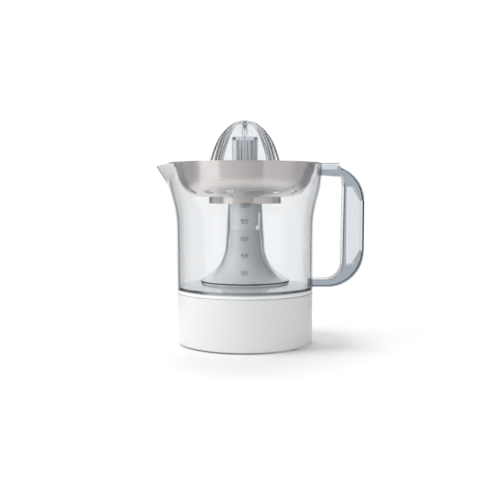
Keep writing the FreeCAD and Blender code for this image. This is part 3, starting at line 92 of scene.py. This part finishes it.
# Volume scale: millilitres, and the height of each mark in millimetres
SCALE_MARKS = {200: 74.4, 400: 90.4, 600: 106.1, 800: 122.1, 1000: 136.8}
JUG_RADIUS = 68.3 * MM
INK_LIFT = 0.04 * MM
INK_THICKNESS = 0.05 * MM
DIGIT_HEIGHT = 3.2 * MM
TYPE_PER_DIGIT = 1.4
DIGIT_GAP = 0.9 * MM
DIGIT_THINNING = 0.025 * MM
DIGIT_SPACING = 1.12
MARK_WIDTH = 5.6 * MM
MARK_HEIGHT = 0.35 * MM
MARK_STEPS = 12

# Patterns of the finishes
CLOUD_SCALE = 14.0
CLOUD_DETAIL = 3.0
GRAIN_DETAIL = 2.0
RING_DETAIL = 4.0
RING_ROUGHNESS = 0.7
PATTERN_LOW = 0.3
PATTERN_HIGH = 0.7
RELIEF_DEPTH = 0.05 * MM

# Plain values of the finishes, and the colour and density of a clear body
CLEAR = {"Transmission Weight": 1.0, "IOR": 1.5}
REAMER_CLEAR = {"Transmission Weight": 1.0, "IOR": 1.32}
METAL = {"Metallic": 1.0}
SPUN = {"Metallic": 1.0, "Anisotropic": 0.95, "Anisotropic Rotation": 0.25}
SATIN = {"IOR": 1.46}
PAPER = {"IOR": 1.3}
CLEAR_BODY = ((0.52, 0.575, 0.64), 44.0)
REAMER_BODY = ((0.60, 0.66, 0.76), 24.0)
TINTED_BODY = ((0.42, 0.48, 0.55), 72.0)
LAMP_TINT = (0.985, 0.985, 0.988, 1)

# Floor and room: places across a wall with the grey level at each
FLOOR_RADIUS = 0.40
FLOOR_SIDES = 96
FLOOR_BORDER = 0.3
FLOOR_FADE = (0.62, 0.76)
BACK_LEVELS = ((0.0, 1.02), (0.36, 1.02), (0.5, 0.22), (0.78, 0.22), (0.87, 0.6), (1.0, 0.62))
FRONT_LEVELS = ((0.0, 0.52), (0.03, 0.55), (0.04, 1.3), (0.185, 1.25), (0.2, 0.82),
                (0.72, 0.46), (0.735, 0.8), (0.95, 0.75), (1.0, 0.6))
BACK_TO_FRONT = (0.1, -0.05)
WALL_TO_CEILING = (0.45, 0.75)
CEILING_LEVEL = 0.6
BACKDROP_LEVEL = 1.02

# Sockets of a colour mix, which share their names
MIX_FACTOR = 0
MIX_FIRST = 6
MIX_SECOND = 7
MIX_RESULT = 2


def only(obj):
    """Leave one object selected and active."""
    bpy.ops.object.select_all(action="DESELECT")
    obj.select_set(True)
    bpy.context.view_layer.objects.active = obj


def wear(obj, material):
    """Give an object one material all over."""
    obj.data.materials.clear()
    obj.data.materials.append(material)


def grey(level):
    return (level, level, level, 1)


# Shader nodes

SKIN_INPUTS = (
    ("Colour", "NodeSocketColor", grey(0.8)),
    ("Shade", "NodeSocketColor", grey(0.7)),
    ("Gloss low", "NodeSocketFloat", 0.25),
    ("Gloss high", "NodeSocketFloat", 0.4),
    ("Pattern", "NodeSocketFloat", 1000.0),
)
SKIN_OUTPUTS = (
    ("Colour", "NodeSocketColor"),
    ("Roughness", "NodeSocketFloat"),
    ("Height", "NodeSocketFloat"),
)


def new_skin_group(name):
    """An empty node group with the sockets that every finish uses."""
    group = bpy.data.node_groups.new(name, "ShaderNodeTree")
    for label, kind, default in SKIN_INPUTS:
        socket = group.interface.new_socket(label, in_out="INPUT", socket_type=kind)
        socket.default_value = default
    for label, kind in SKIN_OUTPUTS:
        group.interface.new_socket(label, in_out="OUTPUT", socket_type=kind)
    enter = group.nodes.new("NodeGroupInput")
    leave = group.nodes.new("NodeGroupOutput")
    return group, enter, leave


def add(tree, kind, **settings):
    node = tree.nodes.new(kind)
    for key, value in settings.items():
        setattr(node, key, value)
    return node


def add_mix(tree, factor, first):
    """A colour mix that starts at one colour; its second colour is left to set."""
    mix = add(tree, "ShaderNodeMix", data_type="RGBA")
    tree.links.new(factor, mix.inputs[MIX_FACTOR])
    tree.links.new(first, mix.inputs[MIX_FIRST])
    return mix


def add_share(tree, source, start, end):
    """How far a value has come from start to end, 0 to 1."""
    share = add(tree, "ShaderNodeMapRange")
    share.inputs["From Min"].default_value = start
    share.inputs["From Max"].default_value = end
    tree.links.new(source, share.inputs["Value"])
    return share


def vary_skin(group, enter, leave, pattern):
    """Let colour and gloss follow a pattern between their two values."""
    link = group.links.new
    tint = add_mix(group, pattern, enter.outputs["Colour"])
    link(enter.outputs["Shade"], tint.inputs[MIX_SECOND])
    link(tint.outputs[MIX_RESULT], leave.inputs["Colour"])
    gloss = add_share(group, pattern, PATTERN_LOW, PATTERN_HIGH)
    link(enter.outputs["Gloss low"], gloss.inputs["To Min"])
    link(enter.outputs["Gloss high"], gloss.inputs["To Max"])
    link(gloss.outputs["Result"], leave.inputs["Roughness"])


def build_moulding_group():
    """Fine moulded skin: a faint cloud in the colour, patchy gloss and a soft ripple."""
    group, enter, leave = new_skin_group("moulding")
    link = group.links.new
    place = add(group, "ShaderNodeTexCoord")
    cloud = add(group, "ShaderNodeTexNoise")
    cloud.inputs["Scale"].default_value = CLOUD_SCALE
    cloud.inputs["Detail"].default_value = CLOUD_DETAIL
    link(place.outputs["Object"], cloud.inputs["Vector"])
    grain = add(group, "ShaderNodeTexNoise")
    grain.inputs["Detail"].default_value = GRAIN_DETAIL
    link(place.outputs["Object"], grain.inputs["Vector"])
    link(enter.outputs["Pattern"], grain.inputs["Scale"])
    link(grain.outputs["Fac"], leave.inputs["Height"])
    vary_skin(group, enter, leave, cloud.outputs["Fac"])
    return group


def build_turned_group():
    """Fine rings left by spinning or turning about the drive axis."""
    group, enter, leave = new_skin_group("turned_rings")
    link = group.links.new
    place = add(group, "ShaderNodeTexCoord")
    split = add(group, "ShaderNodeSeparateXYZ")
    link(place.outputs["Object"], split.inputs[0])
    total = add(group, "ShaderNodeMath", operation="ADD")
    for row, axis in enumerate("XY"):
        square = add(group, "ShaderNodeMath", operation="MULTIPLY")
        link(split.outputs[axis], square.inputs[0])
        link(split.outputs[axis], square.inputs[1])
        link(square.outputs[0], total.inputs[row])
    radius = add(group, "ShaderNodeMath", operation="SQRT")
    link(total.outputs[0], radius.inputs[0])
    ring_place = add(group, "ShaderNodeCombineXYZ")
    link(radius.outputs[0], ring_place.inputs["X"])
    link(split.outputs["Z"], ring_place.inputs["Z"])
    rings = add(group, "ShaderNodeTexNoise")
    rings.inputs["Detail"].default_value = RING_DETAIL
    rings.inputs["Roughness"].default_value = RING_ROUGHNESS
    link(ring_place.outputs[0], rings.inputs["Vector"])
    link(enter.outputs["Pattern"], rings.inputs["Scale"])
    link(rings.outputs["Fac"], leave.inputs["Height"])
    vary_skin(group, enter, leave, rings.outputs["Fac"])
    return group


MOULDING = build_moulding_group()
TURNED = build_turned_group()


# Finishes

def tint_depth(tree, colour, density):
    """Tint a clear material by its depth, and let lamps shine through it."""
    link = tree.links.new
    leave = tree.nodes["Material Output"]
    depth = add(tree, "ShaderNodeVolumeAbsorption")
    depth.inputs["Color"].default_value = (*colour, 1)
    depth.inputs["Density"].default_value = density
    link(depth.outputs["Volume"], leave.inputs["Volume"])
    rays = add(tree, "ShaderNodeLightPath")
    passing = add(tree, "ShaderNodeBsdfTransparent")
    passing.inputs["Color"].default_value = LAMP_TINT
    choose = add(tree, "ShaderNodeMixShader")
    link(rays.outputs["Is Shadow Ray"], choose.inputs[0])
    link(tree.nodes["Principled BSDF"].outputs["BSDF"], choose.inputs[1])
    link(passing.outputs["BSDF"], choose.inputs[2])
    link(choose.outputs["Shader"], leave.inputs["Surface"])


def make_finish(name, group, colour, shade, gloss, pattern, bump, plain, body=None):
    """A material whose colour, gloss and relief come from one of the groups; body makes it clear."""
    material = bpy.data.materials.new(name)
    material.use_nodes = True
    tree = material.node_tree
    link = tree.links.new
    shader = tree.nodes["Principled BSDF"]
    skin = add(tree, "ShaderNodeGroup", node_tree=group)
    skin.inputs["Colour"].default_value = (*colour, 1)
    skin.inputs["Shade"].default_value = (*shade, 1)
    skin.inputs["Gloss low"].default_value = gloss[0]
    skin.inputs["Gloss high"].default_value = gloss[1]
    skin.inputs["Pattern"].default_value = pattern
    relief = add(tree, "ShaderNodeBump")
    relief.inputs["Strength"].default_value = bump
    relief.inputs["Distance"].default_value = RELIEF_DEPTH
    link(skin.outputs["Colour"], shader.inputs["Base Color"])
    link(skin.outputs["Roughness"], shader.inputs["Roughness"])
    link(skin.outputs["Height"], relief.inputs["Height"])
    link(relief.outputs["Normal"], shader.inputs["Normal"])
    for socket, value in plain.items():
        shader.inputs[socket].default_value = value
    if body:
        tint_depth(tree, *body)
    return material


white_plastic = make_finish(
    "white_moulding", MOULDING, colour=(0.68, 0.685, 0.685), shade=(0.66, 0.665, 0.665),
    gloss=(0.3, 0.38), pattern=1400.0, bump=0.08, plain=SATIN)
grey_plastic = make_finish(
    "grey_moulding", MOULDING, colour=(0.78, 0.805, 0.82), shade=(0.76, 0.785, 0.80),
    gloss=(0.36, 0.46), pattern=1200.0, bump=0.1, plain=SATIN)
shaft_plastic = make_finish(
    "pale_grey_moulding", MOULDING, colour=(0.87, 0.89, 0.905), shade=(0.85, 0.87, 0.885),
    gloss=(0.34, 0.44), pattern=1200.0, bump=0.1, plain=SATIN)
# Dark grey for the collar seam: painted shade in the joint between collar and drum
seam_shade_plastic = make_finish(
    "seam_shade_moulding", MOULDING, colour=(0.30, 0.32, 0.34), shade=(0.27, 0.29, 0.31),
    gloss=(0.5, 0.6), pattern=1200.0, bump=0.1, plain=SATIN)
clear_plastic = make_finish(
    "clear_moulding", MOULDING, colour=(0.985, 0.988, 0.99), shade=(0.98, 0.984, 0.988),
    gloss=(0.0, 0.02), pattern=40.0, bump=0.02, plain=CLEAR, body=CLEAR_BODY)
reamer_plastic = make_finish(
    "clear_reamer", MOULDING, colour=(0.98, 0.983, 0.988), shade=(0.975, 0.98, 0.985),
    gloss=(0.06, 0.1), pattern=60.0, bump=0.03, plain=REAMER_CLEAR, body=REAMER_BODY)
tinted_plastic = make_finish(
    "tinted_moulding", MOULDING, colour=(0.97, 0.98, 0.985), shade=(0.965, 0.975, 0.98),
    gloss=(0.0, 0.03), pattern=60.0, bump=0.02, plain=CLEAR, body=TINTED_BODY)
spun_steel = make_finish(
    "spun_steel", TURNED, colour=(0.72, 0.68, 0.66), shade=(0.70, 0.66, 0.64),
    gloss=(0.18, 0.23), pattern=9000.0, bump=0.03, plain=SPUN)
plated_steel = make_finish(
    "plated_steel", TURNED, colour=(0.62, 0.62, 0.61), shade=(0.52, 0.52, 0.52),
    gloss=(0.25, 0.4), pattern=3000.0, bump=0.1, plain=METAL)
sheet_steel = make_finish(
    "sheet_steel", MOULDING, colour=(0.55, 0.55, 0.55), shade=(0.47, 0.47, 0.48),
    gloss=(0.3, 0.5), pattern=700.0, bump=0.15, plain=METAL)
lamination_steel = make_finish(
    "lamination_steel", MOULDING, colour=(0.22, 0.225, 0.235), shade=(0.17, 0.175, 0.18),
    gloss=(0.4, 0.6), pattern=900.0, bump=0.3, plain=METAL)
bronze = make_finish(
    "sintered_bronze", MOULDING, colour=(0.5, 0.33, 0.15), shade=(0.42, 0.27, 0.12),
    gloss=(0.35, 0.5), pattern=2500.0, bump=0.2, plain=METAL)
copper_wire = make_finish(
    "enamelled_copper", MOULDING, colour=(0.52, 0.2, 0.08), shade=(0.44, 0.16, 0.06),
    gloss=(0.25, 0.4), pattern=1800.0, bump=0.3, plain=METAL)
ferrite = make_finish(
    "ferrite", MOULDING, colour=(0.045, 0.045, 0.048), shade=(0.03, 0.03, 0.033),
    gloss=(0.5, 0.7), pattern=1500.0, bump=0.2, plain=SATIN)
gear_nylon = make_finish(
    "gear_nylon", MOULDING, colour=(0.75, 0.73, 0.66), shade=(0.68, 0.66, 0.6),
    gloss=(0.35, 0.5), pattern=1100.0, bump=0.1, plain=SATIN)
bobbin_plastic = make_finish(
    "bobbin_plastic", MOULDING, colour=(0.66, 0.63, 0.52), shade=(0.6, 0.57, 0.47),
    gloss=(0.4, 0.55), pattern=1100.0, bump=0.1, plain=SATIN)
dark_rubber = make_finish(
    "dark_rubber", MOULDING, colour=(0.03, 0.03, 0.032), shade=(0.022, 0.022, 0.024),
    gloss=(0.6, 0.8), pattern=1800.0, bump=0.4, plain=SATIN)
black_plastic = make_finish(
    "black_moulding", MOULDING, colour=(0.02, 0.02, 0.022), shade=(0.015, 0.015, 0.017),
    gloss=(0.35, 0.5), pattern=1500.0, bump=0.2, plain=SATIN)
ink = make_finish(
    "scale_ink", MOULDING, colour=(0.03, 0.032, 0.04), shade=(0.024, 0.026, 0.034),
    gloss=(0.5, 0.6), pattern=1500.0, bump=0.05, plain=SATIN)

FINISHES = {
    "white_plastic": white_plastic,
    "grey_plastic": grey_plastic,
    "clear_plastic": clear_plastic,
    "tinted_plastic": tinted_plastic,
    "polished_steel": spun_steel,
    "dark_rubber": dark_rubber,
    "plated_steel": plated_steel,
    "plate_steel": sheet_steel,
    "gear_nylon": gear_nylon,
    "bronze": bronze,
    "laminations": lamination_steel,
    "bobbin_plastic": bobbin_plastic,
    "copper": copper_wire,
    "ferrite": ferrite,
    "black_plastic": black_plastic,
}

for part in frame["record"]["subparts"]:
    wear(nodes[part["node"]], FINISHES[part["material_slot"]])
wear(nodes["reamer"], reamer_plastic)
for name in ("drive_shaft", "shaft_bush"):
    wear(nodes[name], shaft_plastic)


# Jug wall as one shell, with the spout pulled out of it

jug_low, jug_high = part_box("jug_wall")


def wall_radius(height):
    """Outer radius of the jug wall at a height, read on its front."""
    height = min(max(height, jug_low[2] + EDGE_MARGIN), jug_high[2] - EDGE_MARGIN)
    start = Vector((0, -OUTSIDE, height))
    return -nodes["jug_wall"].ray_cast(start, Vector((0, 1, 0)))[1].y


def beak_radius(circle, proud, angle):
    """Plan of wall and spout: the hull of the wall's circle and the spout's round nose."""
    away = circle + proud - NOSE_RADIUS
    turn = math.acos(min(1, (circle - NOSE_RADIUS) / away))
    if angle >= turn:
        return circle
    nose_end = math.atan2(NOSE_RADIUS * math.sin(turn), away + NOSE_RADIUS * math.cos(turn))
    if angle >= nose_end:
        return circle / math.cos(turn - angle)
    return away * math.cos(angle) + math.sqrt(NOSE_RADIUS ** 2 - (away * math.sin(angle)) ** 2)


def pull_jug_shell():
    """Roll a sheet into the jug wall, closest meshed at the spout, and give it its thickness."""
    bpy.ops.object.select_all(action="DESELECT")
    bpy.ops.mesh.primitive_grid_add(x_subdivisions=WALL_COLUMNS, y_subdivisions=WALL_ROWS, size=2)
    shell = bpy.context.object
    shell.name = "jug_shell"
    rim = wall_radius(jug_high[2])
    for vertex in shell.data.vertices:
        across = vertex.co.x
        angle = math.pi * (GATHER * across + (1 - GATHER) * across ** 3)
        lip = (beak_radius(rim, SPOUT_REACH, abs(angle)) - rim) / SPOUT_REACH
        top = jug_high[2] - lip * SPOUT_DROP
        height = jug_low[2] + (top - jug_low[2]) * (vertex.co.y + 1) / 2
        risen = max(0, (height - SPOUT_START) / (jug_high[2] - SPOUT_START))
        radius = beak_radius(wall_radius(height), SPOUT_REACH * risen ** SPOUT_CURVE, abs(angle))
        vertex.co = (-radius * math.cos(angle), -radius * math.sin(angle), height)
    bpy.ops.object.mode_set(mode="EDIT")
    bpy.ops.mesh.select_all(action="SELECT")
    bpy.ops.mesh.remove_doubles(threshold=MERGE_DISTANCE)
    bpy.ops.mesh.normals_make_consistent(inside=True)
    bpy.ops.object.mode_set(mode="OBJECT")
    wall = shell.modifiers.new("wall", "SOLIDIFY")
    wall.thickness = WALL_THICKNESS
    wall.offset = -1
    wall.use_even_offset = True
    bpy.ops.object.modifier_apply(modifier=wall.name)
    bpy.ops.object.shade_smooth_by_angle(angle=SMOOTH_ANGLE)
    return shell


jug_shell = pull_jug_shell()
wear(jug_shell, clear_plastic)
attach(jug_shell, "jug")
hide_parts("jug_wall")


# Return spring, a smooth copy of its coil

def copy_spring():
    """The spring's own coil, merged and smooth."""
    spring = bpy.data.objects.new("spring_coil", nodes["return_spring"].data.copy())
    bpy.context.scene.collection.objects.link(spring)
    only(spring)
    bpy.ops.object.mode_set(mode="EDIT")
    bpy.ops.mesh.select_all(action="SELECT")
    bpy.ops.mesh.remove_doubles(threshold=MERGE_DISTANCE)
    bpy.ops.object.mode_set(mode="OBJECT")
    bpy.ops.object.shade_smooth_by_angle(angle=SMOOTH_ANGLE)
    return spring


spring_coil = copy_spring()
wear(spring_coil, plated_steel)
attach(spring_coil, "base")
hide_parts("return_spring")
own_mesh(spring_coil)


# Joint line round the foot of the drum's collar, drawn dark as painted shade in the gap between
# collar and drum

def lay_collar_seam():
    """A thin hoop with broken edges, to carry the painted shade of the joint."""
    bpy.ops.object.select_all(action="DESELECT")
    bpy.ops.mesh.primitive_cylinder_add(vertices=SEAM_SIDES, radius=SEAM_RADIUS, depth=SEAM_HEIGHT,
                                        end_fill_type="NOTHING", location=(0, 0, SEAM_LEVEL))
    seam = bpy.context.object
    seam.name = "collar_seam_shade"
    bpy.ops.object.transform_apply(location=True, rotation=True, scale=True)
    wall = seam.modifiers.new("wall", "SOLIDIFY")
    wall.thickness = SEAM_THICKNESS
    wall.offset = -1
    bpy.ops.object.modifier_apply(modifier=wall.name)
    edge = seam.modifiers.new("edge", "BEVEL")
    edge.width = SEAM_EDGE
    edge.segments = SEAM_EDGE_STEPS
    bpy.ops.object.modifier_apply(modifier=edge.name)
    return seam


collar_seam_shade = lay_collar_seam()
# The hoop's dark grey is painted shade, standing for the shadow in the joint
wear(collar_seam_shade, seam_shade_plastic)
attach(collar_seam_shade, "base")


# Printed volume scale on the front of the jug

def wrap_on_jug(obj):
    """Lay a flat print, drawn in X and Z, on the front of the jug wall."""
    for vertex in obj.data.vertices:
        angle = vertex.co.x / JUG_RADIUS
        outward = Vector((math.sin(angle), -math.cos(angle), 0))
        start = outward * OUTSIDE + Vector((0, 0, vertex.co.z))
        place = jug_shell.ray_cast(start, -outward)[1]
        vertex.co = place + outward * (INK_LIFT - vertex.co.y)


def print_number(number, height):
    """The digits above a mark, standing flat in X and Z."""
    bpy.ops.object.select_all(action="DESELECT")
    bpy.ops.object.text_add(location=(0, 0, height + DIGIT_GAP), rotation=(math.pi / 2, 0, 0))
    text = bpy.context.object.data
    text.body = str(number)
    text.align_x = "CENTER"
    text.size = DIGIT_HEIGHT * TYPE_PER_DIGIT
    text.offset = -DIGIT_THINNING
    text.space_character = DIGIT_SPACING
    text.extrude = INK_THICKNESS / 2
    bpy.ops.object.convert(target="MESH")
    bpy.ops.object.transform_apply(location=True, rotation=True, scale=True)
    piece = bpy.context.object
    piece.name = f"scale_number_{number}"
    return piece


def print_mark(number, height):
    """The short line under a number, standing flat in X and Z."""
    bpy.ops.object.select_all(action="DESELECT")
    bpy.ops.mesh.primitive_grid_add(x_subdivisions=MARK_STEPS, y_subdivisions=1, size=1)
    piece = bpy.context.object
    piece.name = f"scale_mark_{number}"
    piece.scale = (MARK_WIDTH, MARK_HEIGHT, 1)
    piece.rotation_euler = (math.pi / 2, 0, 0)
    piece.location = (0, 0, height)
    bpy.ops.object.transform_apply(location=True, rotation=True, scale=True)
    thick = piece.modifiers.new("thickness", "SOLIDIFY")
    thick.thickness = INK_THICKNESS
    thick.offset = 0
    bpy.ops.object.modifier_apply(modifier=thick.name)
    return piece


for amount, level in SCALE_MARKS.items():
    for piece in (print_number(amount, level * MM), print_mark(amount, level * MM)):
        wrap_on_jug(piece)
        wear(piece, ink)
        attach(piece, "jug")


# Studio

def add_ramp(tree, levels):
    """A grey colour ramp with the given places and levels."""
    ramp = add(tree, "ShaderNodeValToRGB")
    stops = ramp.color_ramp.elements
    for spot, level in levels[1:-1]:
        stops.new(spot).color = grey(level)
    stops[0].color = grey(levels[0][1])
    stops[len(levels) - 1].color = grey(levels[-1][1])
    return ramp


def build_floor():
    """Round sheet of pale paper under the press, fading out at its edge."""
    bpy.ops.object.select_all(action="DESELECT")
    bpy.ops.mesh.primitive_circle_add(vertices=FLOOR_SIDES, radius=FLOOR_RADIUS, fill_type="NGON")
    floor = bpy.context.object
    floor.name = "paper_floor"
    bpy.ops.object.mode_set(mode="EDIT")
    bpy.ops.mesh.select_all(action="SELECT")
    bpy.ops.mesh.inset(thickness=FLOOR_RADIUS * FLOOR_BORDER)
    bpy.ops.object.mode_set(mode="OBJECT")
    paper = make_finish(
        "white_paper", MOULDING, colour=(0.86, 0.86, 0.86), shade=(0.85, 0.85, 0.85),
        gloss=(0.8, 0.9), pattern=300.0, bump=0.02, plain=PAPER)
    tree = paper.node_tree
    place = add(tree, "ShaderNodeTexCoord")
    inward = add(tree, "ShaderNodeTexGradient", gradient_type="SPHERICAL")
    tree.links.new(place.outputs["Object"], inward.inputs["Vector"])
    cover = add_share(tree, inward.outputs["Fac"], *FLOOR_FADE)
    tree.links.new(cover.outputs["Result"], tree.nodes["Principled BSDF"].inputs["Alpha"])
    wear(floor, paper)


def build_world():
    """Room with a white wall behind, dark sides beyond it, a banded front and a grey ceiling;
    the camera itself sees a plain pale backdrop."""
    world = bpy.data.worlds.new("studio")
    bpy.context.scene.world = world
    world.use_nodes = True
    tree = world.node_tree
    link = tree.links.new
    place = add(tree, "ShaderNodeTexCoord")
    split = add(tree, "ShaderNodeSeparateXYZ")
    link(place.outputs["Generated"], split.inputs[0])
    aside = add(tree, "ShaderNodeMath", operation="ABSOLUTE")
    link(split.outputs["X"], aside.inputs[0])
    back = add_ramp(tree, BACK_LEVELS)
    link(aside.outputs[0], back.inputs["Fac"])
    across = add_share(tree, split.outputs["X"], -1, 1)
    front = add_ramp(tree, FRONT_LEVELS)
    link(across.outputs["Result"], front.inputs["Fac"])
    forward = add_share(tree, split.outputs["Y"], *BACK_TO_FRONT)
    walls = add_mix(tree, forward.outputs["Result"], back.outputs["Color"])
    link(front.outputs["Color"], walls.inputs[MIX_SECOND])
    upward = add_share(tree, split.outputs["Z"], *WALL_TO_CEILING)
    room = add_mix(tree, upward.outputs["Result"], walls.outputs[MIX_RESULT])
    room.inputs[MIX_SECOND].default_value = grey(CEILING_LEVEL)
    rays = add(tree, "ShaderNodeLightPath")
    seen = add_mix(tree, rays.outputs["Is Camera Ray"], room.outputs[MIX_RESULT])
    seen.inputs[MIX_SECOND].default_value = grey(BACKDROP_LEVEL)
    link(seen.outputs[MIX_RESULT], tree.nodes["Background"].inputs["Color"])


def build_camera():
    data = bpy.data.cameras.new("photo_view")
    data.lens = LENS_MM
    data.sensor_width = SENSOR_MM
    camera = bpy.data.objects.new("photo_view", data)
    camera.location = (CAMERA_ACROSS, -CAMERA_DISTANCE, EYE_HEIGHT)
    camera.rotation_euler = (math.pi / 2 - CAMERA_PITCH, 0, 0)
    bpy.context.scene.collection.objects.link(camera)
    bpy.context.scene.camera = camera


def add_panel(name, place, target, size, power, colour):
    """A soft rectangular light that steel and clear pieces don't mirror."""
    light = bpy.data.lights.new(name, "AREA")
    light.shape = "RECTANGLE"
    light.size = size[0]
    light.size_y = size[1]
    light.energy = power
    light.color = colour
    panel = bpy.data.objects.new(name, light)
    panel.location = place
    panel.rotation_euler = (Vector(target) - Vector(place)).to_track_quat("-Z", "Y").to_euler()
    panel.visible_glossy = False
    panel.visible_transmission = False
    bpy.context.scene.collection.objects.link(panel)
    return panel


def light_press():
    """Key from the left, fill from the front and a top light from behind."""
    key = add_panel("key_left", place=(-1.0, -0.15, 1.0), target=(0, 0, 0.05), size=(0.9, 0.9),
                    power=12.6, colour=(1, 0.99, 0.97))
    add_panel("fill_front", place=(0.0, -1.5, 0.35), target=(0, 0, 0.1), size=(1.4, 0.7),
              power=4.6, colour=(1, 1, 1))
    add_panel("top_back", place=(0.05, 0.5, 1.3), target=(0, 0, 0.05), size=(0.6, 0.6),
              power=6.0, colour=(1, 1, 1))
    # The key's shadow comes from the drum alone, so the floor stays pale beside it.
    key_shadow = bpy.data.collections.new("key_shadow")
    key_shadow.objects.link(nodes["base_housing"])
    key.light_linking.blocker_collection = key_shadow


build_floor()
build_world()
build_camera()
light_press()
bpy.context.scene.view_settings.view_transform = "Standard"
